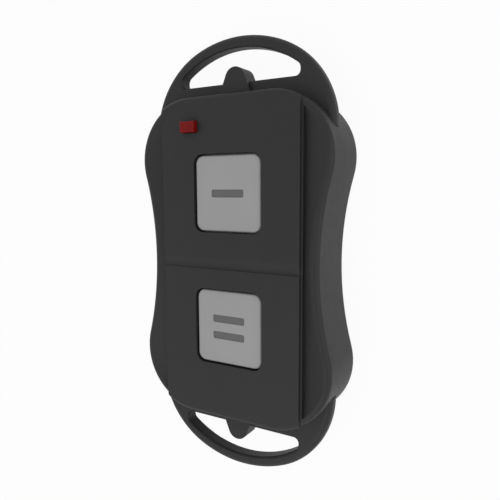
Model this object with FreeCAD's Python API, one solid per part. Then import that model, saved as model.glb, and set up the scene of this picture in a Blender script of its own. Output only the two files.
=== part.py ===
import FreeCAD, Part
import math
import os

from FreeCAD import Vector

# A hand-held remote control with two square keys and a loop at each end.
# Millimetres. It lies on its back: +X is across it, +Y is along it towards the
# light, +Z is out of its face. The back is the plane z = 0, centred on the origin.

# Casing outline: each corner and bulge is one arc, and the waist is another.
case_depth = 12.85
bulge_half_width = 20.7
waist_half_width = 18.1
bulge_offset = 19.15
bulge_radius = 11.75
case_edge_round = 1.1

# Shells. The seam is level with the front of the loops.
split_height = 8.9
case_wall = 1.8
floor_thickness = 1.6
face_thickness = 1.6
lip_thickness = 0.8
lip_height = 1.0
lip_clearance = 0.1

# Centre panel of the face, the ledge and the hollowed wing beside it, and the fold across it.
panel_half_width = 14.9
panel_edge_round = 0.12
panel_end_round = 0.9
ledge_width = 0.4
rim_drop = 0.55
wing_depth = 1.5
wing_wall = 1.5
wing_fade = 2.1
wing_end_width = 0.25
wing_sections = 17
ridge_round = 1.5
ridge_end_share = 0.6
ridge_spread = 1.36
ridge_end_slope = 30.0
ridge_sink = 0.01
fold_offset = 1.05
fold_depth = 0.35
fold_run = 2.2
fold_foot_round = 0.6
fold_crossing = 0.02

# Loops at the ends, with a tongue in each. A loop is a little narrower than the casing.
loop_inset = 1.05
loop_shoulder_offset = 2.65
loop_crown_flattening = 6.5
loop_reach = 10.95
loop_thickness = 3.0
loop_edge_round = 1.1
loop_base_bar = 2.43
loop_crown_band = 2.25
slot_arch_flattening = 1.75
slot_half_width = 12.9
slot_end_round = 1.3
slot_corner_round = 1.0
slot_edge_round = 0.5
tongue_radius = 2.1
tongue_root_half_width = 3.5
tongue_reach = 5.2
tongue_rise = 0.9
tongue_edge_round = 0.2
tongue_gap = 0.05

# Keys and their bars.
button_pitch = 25.55
button_size = 14.2
button_corner = 1.6
button_edge_round = 0.4
button_gap = 0.27
button_recess = 0.3
button_top = 1.2
button_wall = 1.0
button_travel = 0.6
flange_reach = 0.75
flange_thickness = 0.8
flange_gap = 0.1
button_post_radius = 1.6
bar_length = 7.0
bar_width = 1.45
bar_spacing = 3.24
bar_corner = 0.35
bar_pocket = 0.5
bar_recess = 0.08
bar_fit = 0.02

# Light.
light_width = 3.25
light_length = 2.05
light_rise = 1.2
light_x = -8.08
light_from_end = 5.63
light_gap = 0.1
light_edge_round = 0.25
light_base_reach = 0.4
light_base_height = 0.8
light_standoff = 0.8
light_lead_pitch = 2.0
light_lead_size = 0.5
light_lead_tail = 0.9
light_lead_hole_radius = 0.5

# Coin cell and its contacts.
cell_radius = 10.0
cell_height = 3.2
cell_cap_radius = 8.8
cell_cap_height = 0.5
cell_edge_round = 0.3
cell_guide_gap = 0.4
cell_guide_wall = 0.8
cell_guide_height = 2.6
cell_guide_half_width = 6.0
clip_floor_gap = 0.25
clip_thickness = 0.25
clip_width = 6.0
clip_side_gap = 0.15
clip_foot = 2.0
contact_thickness = 0.3
contact_radius = 6.0
contact_hole_radius = 2.0

# Circuit board, its rests and its stops.
board_thickness = 1.0
board_margin = 0.6
board_hole_clearance = 0.3
rest_radius = 1.2
rest_x = 13.0
rest_y = 14.0
stop_radius = 1.0
stop_x = 12.0
stop_y = 6.0

# Press switches.
switch_size = 6.2
switch_base_height = 2.0
switch_well_radius = 2.4
switch_well_floor = 0.6
switch_cover_thickness = 0.2
plunger_radius = 1.7
plunger_flange_radius = 2.1
plunger_flange_height = 0.5
plunger_clearance = 0.1
plunger_stroke_reserve = 0.2
dome_thickness = 0.1
terminal_width = 0.8
terminal_thickness = 0.2
terminal_reach = 1.2
terminal_spread = 4.5

# Chips on the board.
encoder_length = 8.65
encoder_width = 3.9
encoder_height = 1.5
encoder_standoff = 0.1
encoder_lead_pitch = 1.27
encoder_lead_width = 0.4
encoder_lead_reach = 1.0
encoder_lead_thickness = 0.2
encoder_leads_per_side = 7
radio_x = 3.8
radio_from_end = 8.1
transistor_size = (2.9, 1.3, 1.0)
resonator_size = (5.0, 3.5, 1.4)
chip_part_length = 1.6
chip_part_width = 0.8
capacitor_height = 0.8
resistor_height = 0.5
chip_part_pitch = 2.2
chip_part_count = 4
chip_row_offset = 4.4
antenna_width = 1.0
antenna_height = 0.3
antenna_half_width = 8.0
antenna_length = 8.5
antenna_edge_margin = 1.2

# Screws, from the back through the rear bosses into the front posts.
screw_from_flange = 1.85
screw_from_end = 9.4
post_radius = 2.0
boss_radius = 2.6
boss_height = 1.7
boss_gap = 0.1
screw_radius = 1.05
screw_fit = 0.02
screw_hole_clearance = 0.2
screw_head_radius = 1.9
screw_head_height = 1.3
screw_head_clearance = 0.2
screw_head_recess = 0.2
screw_length = 7.5
screw_point = 0.8
screw_point_radius = 0.25
pilot_reserve = 0.5
driver_slot_width = 0.5
driver_slot_length = 2.4
driver_slot_depth = 0.7

# Places worked out from the sizes above.
bulge_centre_x = bulge_half_width - bulge_radius
end_half_length = bulge_offset + bulge_radius
waist_drop = waist_half_width - bulge_centre_x
waist_radius = (bulge_radius ** 2 - waist_drop ** 2 - bulge_offset ** 2) / (2 * (waist_drop - bulge_radius))
waist_centre_x = waist_half_width + waist_radius
loop_half_width = bulge_half_width - loop_inset
loop_shoulder_radius = loop_half_width - loop_shoulder_offset
loop_crown_radius = loop_shoulder_radius + loop_crown_flattening
loop_crown_offset = end_half_length + loop_reach - loop_crown_radius
loop_turn = math.degrees(math.asin(loop_shoulder_offset / loop_crown_flattening))
loop_shoulder_y = loop_crown_offset + loop_crown_flattening * math.cos(math.radians(loop_turn))
slot_base_offset = end_half_length + loop_base_bar
slot_arch_radius = loop_half_width + slot_arch_flattening
slot_arch_offset = end_half_length + loop_reach - loop_crown_band - slot_arch_radius
tongue_offset = end_half_length + tongue_reach - tongue_radius
tangent_angle = math.degrees(math.asin(bulge_offset / (waist_radius + bulge_radius)))
wing_start = panel_half_width + ledge_width
ceiling = case_depth - face_thickness
wing_ceiling = case_depth - wing_depth - wing_wall
clip_bottom = floor_thickness + clip_floor_gap
cell_bottom = clip_bottom + clip_thickness
contact_bottom = cell_bottom + cell_height
board_bottom = contact_bottom + contact_thickness
board_top = board_bottom + board_thickness
switch_top = board_top + switch_base_height + switch_cover_thickness
plunger_top = switch_top + button_travel + plunger_stroke_reserve
button_offset = button_pitch / 2
flange_half = button_size / 2 + flange_reach
light_y = end_half_length - light_from_end
radio_y = -(end_half_length - radio_from_end)
post_x = flange_half + screw_from_flange + post_radius
post_y = end_half_length - screw_from_end
post_bottom = floor_thickness + boss_height + boss_gap
head_seat = screw_head_recess + screw_head_height
post_places = [(sx * post_x, sy * post_y) for sx in (1, -1) for sy in (1, -1)]


def circle_arc(x, y, z, radius, start, end):
    """Arc of a circle about (x, y), from one angle to another in degrees."""
    return Part.makeCircle(radius, Vector(x, y, z), Vector(0, 0, 1), start, end)


def closed_wire(edges):
    return Part.Wire(Part.__sortEdges__(edges))


def prism(wire, height):
    return Part.Face(wire).extrude(Vector(0, 0, height))


def casing_outline(inset, z):
    """The hourglass outline moved inwards by inset, at height z."""
    corner = bulge_radius - inset
    waist = waist_radius + inset
    end_y = bulge_offset + corner
    turn = tangent_angle
    edges = [
        circle_arc(bulge_centre_x, bulge_offset, z, corner, -turn, 90),
        circle_arc(-bulge_centre_x, bulge_offset, z, corner, 90, 180 + turn),
        circle_arc(-bulge_centre_x, -bulge_offset, z, corner, 180 - turn, 270),
        circle_arc(bulge_centre_x, -bulge_offset, z, corner, -90, turn),
        circle_arc(waist_centre_x, 0, z, waist, 180 - turn, 180 + turn),
        circle_arc(-waist_centre_x, 0, z, waist, -turn, turn),
    ]
    for y in (end_y, -end_y):
        left = Vector(-bulge_centre_x, y, z)
        right = Vector(bulge_centre_x, y, z)
        edges.append(Part.makeLine(left, right))
    return closed_wire(edges)


def casing_prism(inset, bottom, top):
    return prism(casing_outline(inset, bottom), top - bottom)


def on_waist(y, inset):
    """Whether the inset outline is still on the arc of the waist at a distance y from the middle."""
    corner = bulge_radius - inset
    return abs(y) < bulge_offset - corner * math.sin(math.radians(tangent_angle))


def half_width(y, inset):
    """Half width of the inset outline at a distance y from the middle."""
    if on_waist(y, inset):
        return waist_centre_x - math.sqrt((waist_radius + inset) ** 2 - y ** 2)
    corner = bulge_radius - inset
    return bulge_centre_x + math.sqrt(corner ** 2 - (abs(y) - bulge_offset) ** 2)


def wall_cosine(y, inset):
    """Cosine of the angle between the inset outline at y and the long axis."""
    if on_waist(y, inset):
        return (waist_centre_x - half_width(y, inset)) / (waist_radius + inset)
    return (half_width(y, inset) - bulge_centre_x) / (bulge_radius - inset)


def block(x, y, bottom, width, length, height):
    """A box centred on (x, y)."""
    corner = Vector(x - width / 2, y - length / 2, bottom)
    return Part.makeBox(width, length, height, corner)


def post(x, y, bottom, top, radius):
    return Part.makeCylinder(radius, top - bottom, Vector(x, y, bottom))


def rounded_block(x, y, bottom, width, length, height, corner):
    """A box centred on (x, y) with its upright edges rounded."""
    dx = width / 2 - corner
    dy = length / 2 - corner
    edges = [
        circle_arc(x + dx, y + dy, bottom, corner, 0, 90),
        circle_arc(x - dx, y + dy, bottom, corner, 90, 180),
        circle_arc(x - dx, y - dy, bottom, corner, 180, 270),
        circle_arc(x + dx, y - dy, bottom, corner, 270, 360),
    ]
    for side in (1, -1):
        edge_x = x + side * width / 2
        edge_y = y + side * length / 2
        edges.append(Part.makeLine(Vector(edge_x, y - dy, bottom), Vector(edge_x, y + dy, bottom)))
        edges.append(Part.makeLine(Vector(x - dx, edge_y, bottom), Vector(x + dx, edge_y, bottom)))
    return prism(closed_wire(edges), height)


def edges_at_height(shape, z):
    """The level edges of a solid at height z."""
    found = []
    for edge in shape.Edges:
        box = edge.BoundBox
        if abs(box.ZMin - z) < 1e-4 and abs(box.ZMax - z) < 1e-4:
            found.append(edge)
    return found


def round_level(shape, radius, z):
    return shape.makeFillet(radius, edges_at_height(shape, z))


def fuse_all(first, others):
    return first.fuse(list(others)).removeSplitter()


def wing_section(y):
    """Closed outline, in an upright plane at y, of what is cut away beside the ledge.

    It rises in a straight line from the foot of the ledge, turns over the ridge in two arcs
    and leaves the rounded edge of the case at a small angle.
    """
    crest_x = half_width(y, case_edge_round)
    crest_z = case_depth - rim_drop - ridge_sink
    reach = crest_x - wing_start
    rise = (wing_depth - rim_drop) * (1 - math.exp(-reach / wing_fade))
    inner = min(ridge_round, ridge_end_share * (reach ** 2 + rise ** 2) / (2 * rise))
    outer = ridge_spread * case_edge_round / wall_cosine(y, case_edge_round) ** 2
    slope = math.atan2(rise - inner, reach) + math.asin(inner / math.hypot(reach, inner - rise))
    fall = math.radians(ridge_end_slope)
    over = case_edge_round
    above = case_depth + over

    def on_ridge(radius, turn):
        return Vector(crest_x + radius * math.sin(turn), y, crest_z - radius * (1 - math.cos(turn)))

    foot = Vector(wing_start, y, crest_z - rise)
    start = on_ridge(inner, -slope)
    crest = on_ridge(inner, 0)
    end = on_ridge(outer, fall)
    outside = Vector(end.x + over, y, end.z - over * math.tan(fall))
    corner = Vector(outside.x, y, above)
    inside = Vector(wing_start, y, above)
    return Part.Wire([
        Part.makeLine(foot, start),
        Part.Arc(start, on_ridge(inner, -slope / 2), crest).toShape(),
        Part.Arc(crest, on_ridge(outer, fall / 2), end).toShape(),
        Part.makeLine(end, outside),
        Part.makeLine(outside, corner),
        Part.makeLine(corner, inside),
        Part.makeLine(inside, foot),
    ])


def wing_cut():
    """What is cut away beside the ledge on the +X side."""
    reach = bulge_radius - case_edge_round
    tip = wing_start + wing_end_width - bulge_centre_x
    wing_end = bulge_offset + math.sqrt(reach ** 2 - tip ** 2)
    sections = []
    for step in range(wing_sections):
        y = wing_end * math.cos(math.pi * step / (wing_sections - 1))
        sections.append(wing_section(y))
    return Part.makeLoft(sections, True, False)


def fold_cut():
    """The hollow above the fold: a long shoulder that turns up again in a round foot."""
    run = fold_run
    drop = fold_depth + fold_crossing
    foot = fold_foot_round
    shoulder = (run ** 2 - 2 * foot * drop + drop ** 2) / (2 * drop)
    turn = math.asin(run / (shoulder + foot))
    crest = case_depth + fold_crossing
    x = -panel_half_width - fold_crossing
    foot_y = -fold_offset
    foot_z = crest - drop + foot
    end_turn = math.acos((foot - drop) / foot)

    def on_shoulder(angle):
        return Vector(x, foot_y + run - shoulder * math.sin(angle), crest - shoulder * (1 - math.cos(angle)))

    def on_foot(angle):
        return Vector(x, foot_y + foot * math.sin(angle), foot_z - foot * math.cos(angle))

    high = on_shoulder(0)
    end = on_foot(-end_turn)
    above = case_depth + case_edge_round
    wire = Part.Wire([
        Part.Arc(high, on_shoulder(turn / 2), on_shoulder(turn)).toShape(),
        Part.Arc(on_foot(turn), on_foot((turn - end_turn) / 2), end).toShape(),
        Part.makeLine(end, Vector(x, end.y, above)),
        Part.makeLine(Vector(x, end.y, above), Vector(x, high.y, above)),
        Part.makeLine(Vector(x, high.y, above), high),
    ])
    return Part.Face(wire).extrude(Vector(-2 * x, 0, 0))


def centre_panel():
    """The raised middle of the face, as a solid down to the seam."""
    height = case_depth - split_height
    panel = casing_prism(0, split_height, case_depth)
    panel = panel.common(block(0, 0, split_height, 2 * panel_half_width, 2 * end_half_length, height))
    ends = [edge for edge in edges_at_height(panel, case_depth) if edge.BoundBox.XLength > panel_edge_round]
    panel = panel.makeFillet(panel_end_round, ends)
    sides = [edge for edge in edges_at_height(panel, case_depth) if edge.BoundBox.XLength < 1e-3]
    return panel.makeFillet(panel_edge_round, sides)


def front_cover():
    rim_height = case_depth - rim_drop
    shell = round_level(casing_prism(0, split_height, rim_height), case_edge_round, rim_height)
    wing = wing_cut()
    other_wing = wing.mirror(Vector(0, 0, 0), Vector(1, 0, 0))
    shell = shell.cut(wing).cut(other_wing)
    shell = fuse_all(shell, [centre_panel()]).cut(fold_cut())
    groove_inset = case_wall - lip_thickness - lip_clearance
    groove_top = split_height + lip_height + lip_clearance
    shell = shell.cut(casing_prism(case_wall, split_height, wing_ceiling))
    shell = shell.cut(casing_prism(groove_inset, split_height, groove_top))
    under_panel = block(0, 0, split_height, 2 * (panel_half_width - face_thickness),
                        2 * end_half_length, ceiling - split_height)
    shell = shell.cut(under_panel.common(casing_prism(case_wall, split_height, ceiling)))
    window = button_size + 2 * button_gap
    for side in (1, -1):
        shell = shell.cut(rounded_block(0, side * button_offset, split_height, window, window,
                                        2 * case_depth, button_corner + button_gap))
    shell = shell.cut(block(light_x, light_y, split_height, light_width + 2 * light_gap,
                            light_length + 2 * light_gap, 2 * case_depth))
    posts = [post(x, y, post_bottom, ceiling + face_thickness / 2, post_radius) for x, y in post_places]
    stops = [post(sx * stop_x, sy * stop_y, board_top, ceiling + face_thickness / 2, stop_radius)
             for sx in (1, -1) for sy in (1, -1)]
    shell = fuse_all(shell, posts + stops)
    pilot_top = head_seat + screw_length + pilot_reserve
    for x, y in post_places:
        shell = shell.cut(post(x, y, post_bottom, pilot_top, screw_radius + screw_fit))
    return shell


def slot_outline(z):
    """The opening of a loop: a straight base, an arch, and upright ends with two round corners each."""
    base_y = slot_base_offset
    corner_x = slot_half_width - slot_corner_round
    corner_y = base_y + slot_corner_round
    end_x = slot_half_width - slot_end_round
    end_rise = math.sqrt((slot_arch_radius - slot_end_round) ** 2 - end_x ** 2)
    end_y = slot_arch_offset + end_rise
    lean = math.degrees(math.atan2(end_rise, end_x))
    edges = [
        Part.makeLine(Vector(-corner_x, base_y, z), Vector(corner_x, base_y, z)),
        circle_arc(0, slot_arch_offset, z, slot_arch_radius, lean, 180 - lean),
        circle_arc(corner_x, corner_y, z, slot_corner_round, -90, 0),
        circle_arc(end_x, end_y, z, slot_end_round, 0, lean),
        circle_arc(-corner_x, corner_y, z, slot_corner_round, 180, 270),
        circle_arc(-end_x, end_y, z, slot_end_round, 180 - lean, 180),
    ]
    for x in (slot_half_width, -slot_half_width):
        edges.append(Part.makeLine(Vector(x, corner_y, z), Vector(x, end_y, z)))
    return closed_wire(edges)


def slot_rims(plate, z):
    """The edges of the opening at height z."""
    rims = []
    for edge in edges_at_height(plate, z):
        box = edge.BoundBox
        inside = box.YMin > slot_base_offset - loop_base_bar / 2
        if inside and box.YMax < slot_arch_offset + slot_arch_radius + loop_crown_band / 2:
            rims.append(edge)
    return rims


def tongue(bottom, top):
    """The round-ended tongue, whose straight flanks spread to a root against the end wall of the casing."""
    start_y = end_half_length + tongue_gap
    run = tongue_offset - start_y
    root = tongue_root_half_width
    turn = math.acos(tongue_radius / math.hypot(root, run)) - math.atan2(run, root)
    touch_x = tongue_radius * math.cos(turn)
    touch_y = tongue_offset + tongue_radius * math.sin(turn)
    lean = math.degrees(turn)
    edges = [
        circle_arc(0, tongue_offset, bottom, tongue_radius, lean, 180 - lean),
        Part.makeLine(Vector(-root, start_y, bottom), Vector(root, start_y, bottom)),
    ]
    for side in (1, -1):
        corner = Vector(side * root, start_y, bottom)
        edges.append(Part.makeLine(corner, Vector(side * touch_x, touch_y, bottom)))
    body = prism(closed_wire(edges), top - bottom)
    sides = [edge for edge in edges_at_height(body, top) if edge.BoundBox.YLength > 1e-3]
    return body.makeFillet(tongue_edge_round, sides)


def loop_outline(z):
    """A flat crown and two rounder shoulders, closed across the casing."""
    shoulder_x = loop_shoulder_offset
    shoulder_y = loop_shoulder_y
    lean = 90 - loop_turn
    edges = [
        circle_arc(0, loop_crown_offset, z, loop_crown_radius, lean, 180 - lean),
        circle_arc(shoulder_x, shoulder_y, z, loop_shoulder_radius, 0, lean),
        circle_arc(-shoulder_x, shoulder_y, z, loop_shoulder_radius, 180 - lean, 180),
        Part.makeLine(Vector(-loop_half_width, shoulder_y, z), Vector(loop_half_width, shoulder_y, z)),
    ]
    return closed_wire(edges)


def loop():
    """The loop and its tongue at the +Y end."""
    bottom = split_height - loop_thickness
    plate = prism(loop_outline(bottom), loop_thickness)
    for z in (split_height, bottom):
        plate = round_level(plate, loop_edge_round, z)
    plate = plate.cut(prism(slot_outline(bottom), loop_thickness))
    for z in (split_height, bottom):
        plate = plate.makeFillet(slot_edge_round, slot_rims(plate, z))
    return fuse_all(plate, [tongue(bottom, split_height + tongue_rise)])


def rear_cover():
    shell = round_level(casing_prism(0, 0, split_height), case_edge_round, 0)
    upper_loop = loop()
    lower_loop = upper_loop.mirror(Vector(0, 0, 0), Vector(0, 1, 0))
    shell = fuse_all(shell, [upper_loop, lower_loop])
    shell = shell.cut(casing_prism(case_wall, floor_thickness, split_height))
    lip_inset = case_wall - lip_thickness
    lip_top = split_height + lip_height
    lip = casing_prism(lip_inset, split_height - lip_height, lip_top)
    lip = lip.cut(casing_prism(case_wall, split_height - lip_height, lip_top))
    guide_radius = cell_radius + cell_guide_gap
    guide_top = floor_thickness + cell_guide_height
    guide = post(0, 0, floor_thickness, guide_top, guide_radius + cell_guide_wall)
    guide = guide.cut(post(0, 0, floor_thickness, guide_top, guide_radius))
    guide = guide.common(block(0, 0, floor_thickness, 2 * cell_guide_half_width, 4 * cell_radius,
                               cell_guide_height))
    under_floor = floor_thickness / 2
    bosses = [post(x, y, under_floor, floor_thickness + boss_height, boss_radius) for x, y in post_places]
    rests = [post(sx * rest_x, sy * rest_y, under_floor, board_bottom, rest_radius)
             for sx in (1, -1) for sy in (1, -1)]
    shell = fuse_all(shell, [lip, guide] + bosses + rests)
    for x, y in post_places:
        shell = shell.cut(post(x, y, 0, head_seat, screw_head_radius + screw_head_clearance))
        shell = shell.cut(post(x, y, 0, post_bottom, screw_radius + screw_hole_clearance))
    return shell


def bar_places(count, centre_y):
    """Centres of the bars on a key, in a column."""
    first = centre_y + bar_spacing * (count - 1) / 2
    return [first - bar_spacing * index for index in range(count)]


def button(centre_y, bar_count):
    """A hollow key with a flange that catches under the face, and a post on the switch."""
    top = case_depth - button_recess
    flange_top = ceiling - flange_gap
    bottom = flange_top - flange_thickness
    under_top = top - button_top
    key = rounded_block(0, centre_y, bottom, button_size, button_size, top - bottom, button_corner)
    key = round_level(key, button_edge_round, top)
    flange = rounded_block(0, centre_y, bottom, 2 * flange_half, 2 * flange_half, flange_thickness,
                           button_corner + flange_reach)
    key = fuse_all(key, [flange])
    inside = button_size - 2 * button_wall
    key = key.cut(rounded_block(0, centre_y, bottom, inside, inside, under_top - bottom,
                                button_corner - button_wall))
    key = fuse_all(key, [post(0, centre_y, plunger_top, under_top + button_top / 2, button_post_radius)])
    for y in bar_places(bar_count, centre_y):
        key = key.cut(rounded_block(0, y, top - bar_pocket, bar_length, bar_width, bar_pocket, bar_corner))
    return key


def bars(centre_y, count):
    """The inlaid bars of a key, each in its own pocket."""
    bottom = case_depth - button_recess - bar_pocket
    height = bar_pocket - bar_recess
    made = []
    for y in bar_places(count, centre_y):
        made.append(rounded_block(0, y, bottom, bar_length - 2 * bar_fit, bar_width - 2 * bar_fit,
                                  height, bar_corner - bar_fit))
    return made


def red_light():
    bottom = board_top + light_standoff
    top = case_depth + light_rise
    body = block(light_x, light_y, bottom, light_width, light_length, top - bottom)
    body = round_level(body, light_edge_round, top)
    base = block(light_x, light_y, bottom, light_width + 2 * light_base_reach,
                 light_length + 2 * light_base_reach, light_base_height)
    return fuse_all(body, [base])


def light_lead_places():
    return [light_x + side * light_lead_pitch / 2 for side in (1, -1)]


def light_leads():
    bottom = board_bottom - light_lead_tail
    top = board_top + light_standoff
    return [block(x, light_y, bottom, light_lead_size, light_lead_size, top - bottom)
            for x in light_lead_places()]


def circuit_board():
    board = casing_prism(case_wall + board_margin, board_bottom, board_top)
    for x, y in post_places:
        board = board.cut(post(x, y, board_bottom, board_top, post_radius + board_hole_clearance))
    for x in light_lead_places():
        board = board.cut(post(x, light_y, board_bottom, board_top, light_lead_hole_radius))
    return board


def switch_base(centre_y):
    base = block(0, centre_y, board_top, switch_size, switch_size, switch_base_height)
    well_floor = board_top + switch_well_floor
    return base.cut(post(0, centre_y, well_floor, board_top + switch_base_height, switch_well_radius))


def switch_cover(centre_y):
    bottom = board_top + switch_base_height
    plate = block(0, centre_y, bottom, switch_size, switch_size, switch_cover_thickness)
    return plate.cut(post(0, centre_y, bottom, switch_top, plunger_radius + plunger_clearance))


def switch_plunger(centre_y):
    flange_top = board_top + switch_base_height - plunger_clearance
    flange_bottom = flange_top - plunger_flange_height
    flange = post(0, centre_y, flange_bottom, flange_top, plunger_flange_radius)
    stem = post(0, centre_y, flange_bottom, plunger_top, plunger_radius)
    return fuse_all(flange, [stem])


def switch_dome(centre_y):
    """A thin round snap dome that stands on the floor of the switch and holds the plunger up."""
    rim = board_top + switch_well_floor
    top = board_top + switch_base_height - plunger_clearance - plunger_flange_height
    reach = switch_well_radius - plunger_clearance
    rise = top - rim - dome_thickness
    radius = (reach ** 2 + rise ** 2) / (2 * rise)
    half_turn = math.asin(reach / radius) / 2
    middle_x = radius * math.sin(half_turn)
    middle_drop = radius * (1 - math.cos(half_turn))

    def at(x, z):
        return Vector(x, centre_y, z)

    under = top - dome_thickness
    outer = Part.Arc(at(0, top), at(middle_x, top - middle_drop), at(reach, rim + dome_thickness))
    inner = Part.Arc(at(reach, rim), at(middle_x, under - middle_drop), at(0, under))
    wire = Part.Wire([
        outer.toShape(),
        Part.makeLine(at(reach, rim + dome_thickness), at(reach, rim)),
        inner.toShape(),
        Part.makeLine(at(0, under), at(0, top)),
    ])
    return Part.Face(wire).revolve(Vector(0, centre_y, 0), Vector(0, 0, 1), 360)


def switch_terminals(centre_y):
    """Four bent legs: each leaves the base at its side and ends flat on the board."""
    rise = switch_base_height / 2
    made = []
    for side in (1, -1):
        for end in (1, -1):
            y = centre_y + end * terminal_spread / 2
            wall_x = side * switch_size / 2
            leg_x = wall_x + side * terminal_thickness / 2
            foot_x = wall_x + side * terminal_reach / 2
            leg = block(leg_x, y, board_top, terminal_thickness, terminal_width, rise)
            foot = block(foot_x, y, board_top, terminal_reach, terminal_width, terminal_thickness)
            made.append(fuse_all(leg, [foot]))
    return made


def coin_cell():
    can_height = cell_height - cell_cap_height
    can_top = cell_bottom + can_height
    can = post(0, 0, cell_bottom, can_top, cell_radius)
    can = round_level(can, cell_edge_round, cell_bottom)
    can = round_level(can, cell_edge_round, can_top)
    cap = post(0, 0, can_top - cell_edge_round, contact_bottom, cell_cap_radius)
    return fuse_all(can, [cap])


def positive_clip():
    """A bent strap under the cell, with a leg and a foot at each side, soldered to the board."""
    inner = cell_radius + clip_side_gap
    outer = inner + clip_thickness
    strap = block(0, 0, clip_bottom, 2 * outer, clip_width, clip_thickness)
    parts = []
    for side in (1, -1):
        leg_x = side * (inner + clip_thickness / 2)
        foot_x = side * (inner + clip_foot / 2)
        parts.append(block(leg_x, 0, clip_bottom, clip_thickness, clip_width, board_bottom - clip_bottom))
        parts.append(block(foot_x, 0, board_bottom - clip_thickness, clip_foot, clip_width, clip_thickness))
    return fuse_all(strap, parts)


def negative_contact():
    disc = post(0, 0, contact_bottom, board_bottom, contact_radius)
    return disc.cut(post(0, 0, contact_bottom, board_bottom, contact_hole_radius))


def encoder_chip():
    return block(0, 0, board_top + encoder_standoff, encoder_length, encoder_width, encoder_height)


def encoder_leads():
    rise = encoder_standoff + encoder_height / 2
    half_row = encoder_lead_pitch * (encoder_leads_per_side - 1) / 2
    made = []
    for side in (1, -1):
        for index in range(encoder_leads_per_side):
            x = index * encoder_lead_pitch - half_row
            wall_y = side * encoder_width / 2
            leg_y = wall_y + side * encoder_lead_thickness / 2
            foot_y = wall_y + side * encoder_lead_reach / 2
            leg = block(x, leg_y, board_top, encoder_lead_width, encoder_lead_thickness, rise)
            foot = block(x, foot_y, board_top, encoder_lead_width, encoder_lead_reach,
                         encoder_lead_thickness)
            made.append(fuse_all(leg, [foot]))
    return made


def chip_row(y, height):
    """A row of small parts across the board."""
    half_row = chip_part_pitch * (chip_part_count - 1) / 2
    return [block(index * chip_part_pitch - half_row, y, board_top, chip_part_width, chip_part_length,
                  height)
            for index in range(chip_part_count)]


def loop_antenna():
    """A flat strip bent round the lower end of the board in a U."""
    end_y = -(end_half_length - case_wall - board_margin - antenna_edge_margin)
    cross = block(0, end_y + antenna_width / 2, board_top, 2 * antenna_half_width, antenna_width,
                  antenna_height)
    arms = []
    for side in (1, -1):
        x = side * (antenna_half_width - antenna_width / 2)
        arms.append(block(x, end_y + antenna_length / 2, board_top, antenna_width, antenna_length,
                          antenna_height))
    return fuse_all(cross, arms)


def cover_screw(x, y):
    """A pan-head screw with a cross slot and a short point."""
    tip = head_seat + screw_length
    head = post(x, y, screw_head_recess, head_seat, screw_head_radius)
    shank = post(x, y, head_seat, tip - screw_point, screw_radius)
    point = Part.makeCone(screw_radius, screw_point_radius, screw_point, Vector(x, y, tip - screw_point))
    screw = fuse_all(head, [shank, point])
    for width, length in ((driver_slot_width, driver_slot_length), (driver_slot_length, driver_slot_width)):
        screw = screw.cut(block(x, y, screw_head_recess, width, length, driver_slot_depth))
    return screw


nodes = {
    "front_cover": front_cover(),
    "rear_cover": rear_cover(),
    "button_upper": button(button_offset, 1),
    "button_lower": button(-button_offset, 2),
    "bar_upper": Part.makeCompound(bars(button_offset, 1)),
    "bars_lower": Part.makeCompound(bars(-button_offset, 2)),
    "red_light": red_light(),
    "light_leads": Part.makeCompound(light_leads()),
    "circuit_board": circuit_board(),
    "coin_cell": coin_cell(),
    "positive_clip": positive_clip(),
    "negative_contact": negative_contact(),
    "encoder_chip": encoder_chip(),
    "encoder_leads": Part.makeCompound(encoder_leads()),
    "resonator": block(radio_x, radio_y, board_top, *resonator_size),
    "transistor": block(-radio_x, radio_y, board_top, *transistor_size),
    "chip_capacitors": Part.makeCompound(chip_row(-chip_row_offset, capacitor_height)),
    "chip_resistors": Part.makeCompound(chip_row(chip_row_offset, resistor_height)),
    "loop_antenna": loop_antenna(),
    "cover_screws": Part.makeCompound([cover_screw(x, y) for x, y in post_places]),
}
for place, centre in (("upper", button_offset), ("lower", -button_offset)):
    nodes["switch_base_" + place] = switch_base(centre)
    nodes["switch_cover_" + place] = switch_cover(centre)
    nodes["switch_dome_" + place] = switch_dome(centre)
    nodes["switch_plunger_" + place] = switch_plunger(centre)
    nodes["switch_terminals_" + place] = Part.makeCompound(switch_terminals(centre))

os.makedirs("parts", exist_ok=True)
for name, shape in nodes.items():
    shape.exportStep("parts/" + name + ".step")
    print(name, "solids", len(shape.Solids), "volume", round(shape.Volume, 2), "valid", shape.isValid())
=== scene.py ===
# %% [markdown]
# # A two-key remote control, lying on its back
#
# The object is a dark grey hand-held remote: an hourglass case in two moulded halves, two square grey
# keys with inlaid bars, one small red light, and at each end a loop for a split ring or a lanyard.
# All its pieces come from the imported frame, at their real size and in metres, and this file adds none.
# It gives them their finishes, down to the grain that only shows from close by, and sets up the
# camera, the floor and the light.

import bpy
import bmesh
import math
from mathutils import Matrix, Vector

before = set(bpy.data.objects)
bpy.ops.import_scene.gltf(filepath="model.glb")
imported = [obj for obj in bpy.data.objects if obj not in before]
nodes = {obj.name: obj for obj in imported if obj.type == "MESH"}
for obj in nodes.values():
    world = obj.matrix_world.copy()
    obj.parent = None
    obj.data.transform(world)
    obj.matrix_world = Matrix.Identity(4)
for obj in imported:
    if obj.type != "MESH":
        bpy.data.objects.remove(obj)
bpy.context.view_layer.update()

# %% [markdown]
# ## The camera
#
# The photograph was taken from close by, so the far loop looks smaller than the near one, which is the
# one beside the light. A camera can be pushed about by eye until the picture fits. Here its place was
# worked out instead, from the square keys, whose four corners must come back to a square: it stands to
# the right of the face by about 31 degrees, a little above its middle, and a hand's breadth away. The
# remote lies on its back, so the camera looks down, with the long axis of the remote upright.

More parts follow.
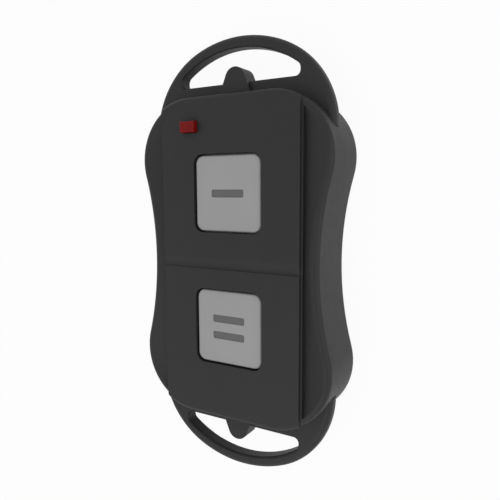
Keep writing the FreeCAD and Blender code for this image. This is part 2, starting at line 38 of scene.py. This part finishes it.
# %% Set up the camera
mm = 0.001
camera_place = Vector((54.51, 13.89, 96.03)) * mm
camera_side = math.radians(30.746)
camera_rise = math.radians(6.673)
camera_roll = math.radians(-0.307)
sensor_width = 36.0
focal_share = 1.071
nearest_seen = 5 * mm
farthest_seen = 10.0

backwards = Vector((math.sin(camera_side) * math.cos(camera_rise), math.sin(camera_rise),
                    math.cos(camera_side) * math.cos(camera_rise)))
sideways = Vector((0, 1, 0)).cross(backwards).normalized()
upwards = backwards.cross(sideways)
turn = Matrix((sideways, upwards, backwards)).transposed() @ Matrix.Rotation(camera_roll, 3, "Z")

lens = bpy.data.cameras.new("studio_camera")
lens.sensor_width = sensor_width
lens.sensor_fit = "HORIZONTAL"
lens.lens = sensor_width * focal_share
lens.clip_start = nearest_seen
lens.clip_end = farthest_seen
camera = bpy.data.objects.new("studio_camera", lens)
camera.matrix_world = Matrix.Translation(camera_place) @ turn.to_4x4()
bpy.context.scene.collection.objects.link(camera)
bpy.context.scene.camera = camera
print("camera at", [round(v * 1000, 1) for v in camera.location], "lens", round(lens.lens, 2), "mm")

# %% [markdown]
# ## Rays that show the white, and rays that carry light
#
# The remote was photographed on white. A floor and a sky bright enough to look white would flood the
# object with light. A ray knows how it came, though, so the white can be kept for the rays that come
# straight from the camera, or by way of a mirror or a clear piece. The floor and the sky both use it.

# %% Tell the rays apart
def larger(tree, first, second):
    """Passes on the larger of two values."""
    choice = tree.nodes.new("ShaderNodeMath")
    choice.operation = "MAXIMUM"
    tree.links.new(first, choice.inputs[0])
    tree.links.new(second, choice.inputs[1])
    return choice.outputs[0]

def direct_rays(tree):
    """A value of 1 for camera, mirror and clear rays, and 0 for those that carry light."""
    path = tree.nodes.new("ShaderNodeLightPath")
    seen_or_mirrored = larger(tree, path.outputs["Is Camera Ray"], path.outputs["Is Glossy Ray"])
    return larger(tree, seen_or_mirrored, path.outputs["Is Transmission Ray"])

def blend_to(tree, output_kind, share, plain, shown):
    """Mixes two shaders, all plain where share is 0 and all shown where it is 1, as the surface."""
    blend = tree.nodes.new("ShaderNodeMixShader")
    output = tree.nodes.new(output_kind)
    tree.links.new(share, blend.inputs[0])
    tree.links.new(plain.outputs[0], blend.inputs[1])
    tree.links.new(shown.outputs[0], blend.inputs[2])
    tree.links.new(blend.outputs[0], output.inputs["Surface"])

# %% [markdown]
# ## The sky
#
# All round and above, the remote saw the white walls of a tent. For the rays that carry light the world
# is an even sky of a plain level, and for the direct rays it is white. The white that the satin plastic
# mirrors is what draws its form: at a grazing angle it mirrors most, so the side wall is much paler
# than the face, although both are one colour.

# %% Make the sky
sky_level = 0.66
white_level = 1.0

def even_background(tree, strength):
    background = tree.nodes.new("ShaderNodeBackground")
    background.inputs["Color"].default_value = (1, 1, 1, 1)
    background.inputs["Strength"].default_value = strength
    return background

def make_world():
    world = bpy.data.worlds.new("studio_world")
    world.use_nodes = True
    tree = world.node_tree
    tree.nodes.clear()
    blend_to(tree, "ShaderNodeOutputWorld", direct_rays(tree),
             even_background(tree, sky_level), even_background(tree, white_level))
    return world

bpy.context.scene.world = make_world()
print("sky level", sky_level, "and", white_level, "for direct rays")

# %% [markdown]
# ## The floor
#
# The remote lies on a sheet of pale paper, far larger than the picture shows. Paper lit by the lamps
# alone would look grey, so for the direct rays nearly all of it is replaced by a white glow. The small
# share of paper that is left keeps a trace of the shadow under the case.

# %% Make the floor
floor_reach = 1.5
paper_white = (0.8, 0.8, 0.8)
floor_glow = 0.94

def pale_floor():
    finish = bpy.data.materials.new("pale_floor")
    finish.use_nodes = True
    tree = finish.node_tree
    tree.nodes.clear()
    paper = tree.nodes.new("ShaderNodeBsdfDiffuse")
    paper.inputs["Color"].default_value = (*paper_white, 1)
    glow = tree.nodes.new("ShaderNodeEmission")
    glow.inputs["Strength"].default_value = white_level
    share = tree.nodes.new("ShaderNodeMath")
    share.operation = "MULTIPLY"
    share.inputs[1].default_value = floor_glow
    tree.links.new(direct_rays(tree), share.inputs[0])
    blend_to(tree, "ShaderNodeOutputMaterial", share.outputs[0], paper, glow)
    finish.cycles.emission_sampling = "NONE"
    return finish

def make_floor():
    mesh = bpy.data.meshes.new("floor")
    shape = bmesh.new()
    bmesh.ops.create_grid(shape, x_segments=1, y_segments=1, size=floor_reach)
    shape.to_mesh(mesh)
    shape.free()
    mesh.materials.append(pale_floor())
    ground = bpy.data.objects.new("floor", mesh)
    bpy.context.scene.collection.objects.link(ground)
    return ground

floor = make_floor()
print("floor is", round(floor.dimensions.x, 2), "m wide")

# %% [markdown]
# ## The lamps
#
# The even sky does most of the work. A small share comes from two lamps, so that the light isn't the
# same from all sides: one hangs over the face, towards the far end, and one stands low on the right.
# Small lamps would put hard spots on the plastic. Lamps that are large for so small an object give soft
# edges, as in the photograph. How strong each has to be was found by lighting the remote with one lamp
# at a time and adding the pictures up.

# %% Hang the lamps
lamp_aim = Vector((0, 0, 6 * mm))
lamp_distance = 0.6
lamp_width = 0.4
above_direction = (0.0, -0.5, 0.87)
above_watts = 0.82
right_direction = (0.97, 0.0, 0.26)
right_watts = 0.84

def hang_lamp(name, towards, watts):
    """A square lamp that hangs off along a direction and faces the middle of the case."""
    direction = Vector(towards).normalized()
    data = bpy.data.lights.new(name, "AREA")
    data.shape = "SQUARE"
    data.size = lamp_width
    data.energy = watts
    lamp = bpy.data.objects.new(name, data)
    lamp.location = lamp_aim + direction * lamp_distance
    lamp.rotation_euler = direction.to_track_quat("Z", "Y").to_euler()
    bpy.context.scene.collection.objects.link(lamp)
    return lamp

lamps = [
    hang_lamp("lamp_above", above_direction, above_watts),
    hang_lamp("lamp_right", right_direction, right_watts),
]
bpy.context.scene.view_settings.view_transform = "Standard"
print("lamps", [(lamp.name, lamp.data.energy) for lamp in lamps])

# %% [markdown]
# ## Noise of a real size
#
# Plastic, metal and lacquer are never quite even. A photographed texture could be wrapped round each
# piece, but it would need the piece unwrapped. Noise on the object's own coordinates needs nothing of
# the kind, and as those are metres, a lump of it can be given a real size.

# %% Helpers for noise
noise_low = 0.3
noise_high = 0.7

def own_coordinates(finish):
    place = finish.node_tree.nodes.new("ShaderNodeTexCoord")
    return place.outputs["Object"]

def noise(finish, size, detail=3.0, place=None):
    """Smooth noise with lumps about size metres across, on other coordinates where place is given."""
    if place is None:
        place = own_coordinates(finish)
    lumps = finish.node_tree.nodes.new("ShaderNodeTexNoise")
    lumps.inputs["Scale"].default_value = 1.0 / size
    lumps.inputs["Detail"].default_value = detail
    finish.node_tree.links.new(place, lumps.inputs["Vector"])
    return lumps.outputs[0]

def between(finish, value, low, high):
    """Stretches a noise, which stays near its middle, to run from low to high."""
    stretch = finish.node_tree.nodes.new("ShaderNodeMapRange")
    stretch.inputs["From Min"].default_value = noise_low
    stretch.inputs["From Max"].default_value = noise_high
    stretch.inputs["To Min"].default_value = low
    stretch.inputs["To Max"].default_value = high
    finish.node_tree.links.new(value, stretch.inputs["Value"])
    return stretch.outputs["Result"]

# %% [markdown]
# ## Colour, gloss and grain
#
# Every finish starts from one shader with an even colour and gloss. Three helpers then let a noise or a
# pattern tint the colour a little, change the gloss a little, and lift the surface by a few thousandths
# of a millimetre. Such a grain is far too fine to model, so a bump stands in for it. A last helper puts
# the finish on the pieces that wear it.

# %% Helpers for finishes
def new_finish(name, colour, roughness):
    """A material with one shader of an even colour and gloss."""
    finish = bpy.data.materials.new(name)
    finish.use_nodes = True
    shader = finish.node_tree.nodes["Principled BSDF"]
    shader.inputs["Base Color"].default_value = (*colour, 1)
    shader.inputs["Roughness"].default_value = roughness
    return finish, shader

def scaled(colour, share):
    return tuple(channel * share for channel in colour)

def tint(finish, shader, share, dark, light):
    """The base colour runs from dark to light as share goes from 0 to 1."""
    mix = finish.node_tree.nodes.new("ShaderNodeMix")
    mix.data_type = "RGBA"
    mix.inputs["A"].default_value = (*dark, 1)
    mix.inputs["B"].default_value = (*light, 1)
    finish.node_tree.links.new(share, mix.inputs["Factor"])
    finish.node_tree.links.new(mix.outputs["Result"], shader.inputs["Base Color"])

def gloss(finish, shader, share):
    finish.node_tree.links.new(share, shader.inputs["Roughness"])

def lift(finish, shader, height, depth):
    """Raises the surface by up to depth metres where height is 1."""
    bump = finish.node_tree.nodes.new("ShaderNodeBump")
    bump.inputs["Strength"].default_value = 1.0
    bump.inputs["Distance"].default_value = depth
    finish.node_tree.links.new(height, bump.inputs["Height"])
    finish.node_tree.links.new(bump.outputs["Normal"], shader.inputs["Normal"])

def wear(finish, names):
    """Gives the finish to these nodes of the frame."""
    for name in names:
        mesh = nodes[name].data
        mesh.materials.clear()
        mesh.materials.append(finish)
    print(finish.name, "on", len(names), "nodes")

# %% [markdown]
# ## Case: moulded plastic with a fine spark grain
#
# Both halves are the same dark grey plastic. The mould is textured by sparks, which leaves a satin grain
# of less than two tenths of a millimetre: the case looks even and matt from a step away, and faintly
# pebbled from close by. Noise of that size in the bump does it, with slow noise for the slight flow
# marks in the colour and the gloss. The other moulded pieces use the same function.

# %% Finish the case
case_grey = (0.018, 0.018, 0.018)
flow_size = 9 * mm
sheen_size = 3 * mm
sheen_change = 0.02
grain_detail = 2.0

def moulded(name, colour, roughness, grain_size, grain_depth, mottle=0.03, mirror=0.5):
    """Plastic or fired clay from a mould, with a grain all over and slow marks of its flow."""
    finish, shader = new_finish(name, colour, roughness)
    shader.inputs["Specular IOR Level"].default_value = mirror
    flow = between(finish, noise(finish, flow_size), 0.0, 1.0)
    tint(finish, shader, flow, scaled(colour, 1 - mottle), scaled(colour, 1 + mottle))
    sheen = noise(finish, sheen_size)
    gloss(finish, shader, between(finish, sheen, roughness - sheen_change, roughness + sheen_change))
    lift(finish, shader, noise(finish, grain_size, grain_detail), grain_depth)
    return finish

case_plastic = moulded("case_plastic", case_grey, roughness=0.52, grain_size=0.16 * mm,
                       grain_depth=0.006 * mm, mirror=0.25)
wear(case_plastic, ["front_cover", "rear_cover"])

# %% [markdown]
# ## Keys and their bars
#
# The keys are a paler, softer plastic than the case, with a finer grain. The bars could be printed on
# them, but they are inlaid pieces of a darker grey that lie a hair below the face of the key, so each
# bar is a piece of its own and takes its own finish.

# %% Finish the keys and bars
key_grey = (0.3, 0.3, 0.3)
bar_grey = (0.092, 0.092, 0.092)

key_plastic = moulded("key_plastic", key_grey, roughness=0.55, grain_size=0.12 * mm,
                      grain_depth=0.003 * mm, mottle=0.02)
bar_plastic = moulded("bar_plastic", bar_grey, roughness=0.5, grain_size=0.10 * mm,
                      grain_depth=0.002 * mm, mottle=0.04)
wear(key_plastic, ["button_upper", "button_lower"])
wear(bar_plastic, ["bar_upper", "bars_lower"])

# %% [markdown]
# ## Light
#
# The light is a block of clear red resin. Unlit it looks deep red, with a soft glow inside where
# daylight scatters. Red glass would show the leads behind it. A little scattering under the surface
# gives the glow without making the block see-through, and a weak mirror keeps the white of the tent
# from washing the red out.

# %% Finish the light
light_red = (0.17, 0.005, 0.004)
light_roughness = 0.35
light_mirror = 0.12
cloud_size = 0.8 * mm
cloud_dark = 0.85
cloud_pale = 1.15
scatter_share = 0.12
scatter_reach = (1.2 * mm, 0.2 * mm, 0.2 * mm)

def clear_red_resin():
    finish, shader = new_finish("red_resin", light_red, light_roughness)
    cloud = between(finish, noise(finish, cloud_size), 0.0, 1.0)
    tint(finish, shader, cloud, scaled(light_red, cloud_dark), scaled(light_red, cloud_pale))
    shader.inputs["Specular IOR Level"].default_value = light_mirror
    shader.inputs["Subsurface Weight"].default_value = scatter_share
    shader.inputs["Subsurface Radius"].default_value = scatter_reach
    shader.inputs["Subsurface Scale"].default_value = 1.0
    return finish

wear(clear_red_resin(), ["red_light"])

# %% [markdown]
# ## Metal pieces
#
# The screws, the clip and contact of the cell, and the covers and domes of the switches are stamped or
# turned steel. The cell and the resonator are brighter pressed cans, the legs and leads are tinned and
# duller, and the antenna is bare copper. Rolled sheet has fine lines. They could be engraved one by one,
# but noise that is drawn out along one axis gives the same look.

# %% Finish the metal pieces
steel_grey = (0.58, 0.58, 0.57)
can_grey = (0.70, 0.70, 0.68)
tin_grey = (0.62, 0.62, 0.60)
copper_red = (0.72, 0.40, 0.24)
line_size = 0.08 * mm
line_squeeze = 0.04
line_depth = 0.001 * mm
line_sheen = 0.08
tarnish_size = 2 * mm
tarnish_dark = 0.92

def drawn_out(finish, along):
    """The object's own coordinates, squeezed along one axis so that a noise is long there."""
    squeeze = finish.node_tree.nodes.new("ShaderNodeMapping")
    squeeze.inputs["Scale"].default_value = [line_squeeze if axis == along else 1.0 for axis in range(3)]
    finish.node_tree.links.new(own_coordinates(finish), squeeze.inputs["Vector"])
    return squeeze.outputs["Vector"]

def rolled(name, colour, roughness, along):
    """Metal with fine lines along an axis, where 0, 1 and 2 are X, Y and Z."""
    finish, shader = new_finish(name, colour, roughness)
    shader.inputs["Metallic"].default_value = 1.0
    lines = noise(finish, line_size, place=drawn_out(finish, along))
    tarnish = between(finish, noise(finish, tarnish_size), 0.0, 1.0)
    tint(finish, shader, tarnish, scaled(colour, tarnish_dark), colour)
    gloss(finish, shader, between(finish, lines, roughness - line_sheen, roughness + line_sheen))
    lift(finish, shader, lines, line_depth)
    return finish

def of_both_keys(name):
    """The names of a switch's piece under the upper and the lower key."""
    return [name + "_" + side for side in ("upper", "lower")]

wear(rolled("stamped_steel", steel_grey, roughness=0.32, along=0),
     ["cover_screws", "positive_clip", "negative_contact"]
     + of_both_keys("switch_cover") + of_both_keys("switch_dome"))
wear(rolled("pressed_can", can_grey, roughness=0.24, along=1), ["coin_cell", "resonator"])
wear(rolled("tinned_wire", tin_grey, roughness=0.42, along=2),
     ["light_leads", "encoder_leads"] + of_both_keys("switch_terminals"))
wear(rolled("bare_copper", copper_red, roughness=0.35, along=1), ["loop_antenna"])

# %% [markdown]
# ## Board
#
# The board is woven glass under green lacquer, and a faint weave shows through. A checker pattern on the
# board's own coordinates stands in for the crossing threads, which are too small to model and lie under
# the lacquer anyway.

# %% Finish the board
board_green = (0.02, 0.13, 0.05)
board_roughness = 0.3
board_smoothest = 0.25
board_roughest = 0.38
weave_size = 0.5 * mm
weave_dark = 0.88
weave_pale = 1.1
weave_depth = 0.004 * mm
lacquer_size = 2 * mm

def lacquered_board():
    finish, shader = new_finish("lacquered_board", board_green, board_roughness)
    weave = finish.node_tree.nodes.new("ShaderNodeTexChecker")
    weave.inputs["Scale"].default_value = 1.0 / weave_size
    finish.node_tree.links.new(own_coordinates(finish), weave.inputs["Vector"])
    tint(finish, shader, weave.outputs["Fac"], scaled(board_green, weave_dark),
         scaled(board_green, weave_pale))
    lacquer = noise(finish, lacquer_size)
    gloss(finish, shader, between(finish, lacquer, board_smoothest, board_roughest))
    lift(finish, shader, noise(finish, weave_size), weave_depth)
    return finish

wear(lacquered_board(), ["circuit_board"])

# %% [markdown]
# ## Chips, switches and capacitors
#
# The chips, the bases of the switches and their plungers are black moulded resin, and the small
# capacitors are fired tan ceramic. Both come out of a mould with a fine grain, as the case does, so the
# case's function makes them too, with a grain of half the size or less.

# %% Finish the chips and capacitors
resin_black = (0.02, 0.02, 0.021)
ceramic_tan = (0.42, 0.30, 0.18)

chip_resin = moulded("chip_resin", resin_black, roughness=0.6, grain_size=0.08 * mm,
                     grain_depth=0.003 * mm, mottle=0.08)
fired_ceramic = moulded("fired_ceramic", ceramic_tan, roughness=0.45, grain_size=0.05 * mm,
                        grain_depth=0.001 * mm, mottle=0.08)
wear(chip_resin, ["encoder_chip", "transistor", "chip_resistors"]
     + of_both_keys("switch_base") + of_both_keys("switch_plunger"))
wear(fired_ceramic, ["chip_capacitors"])
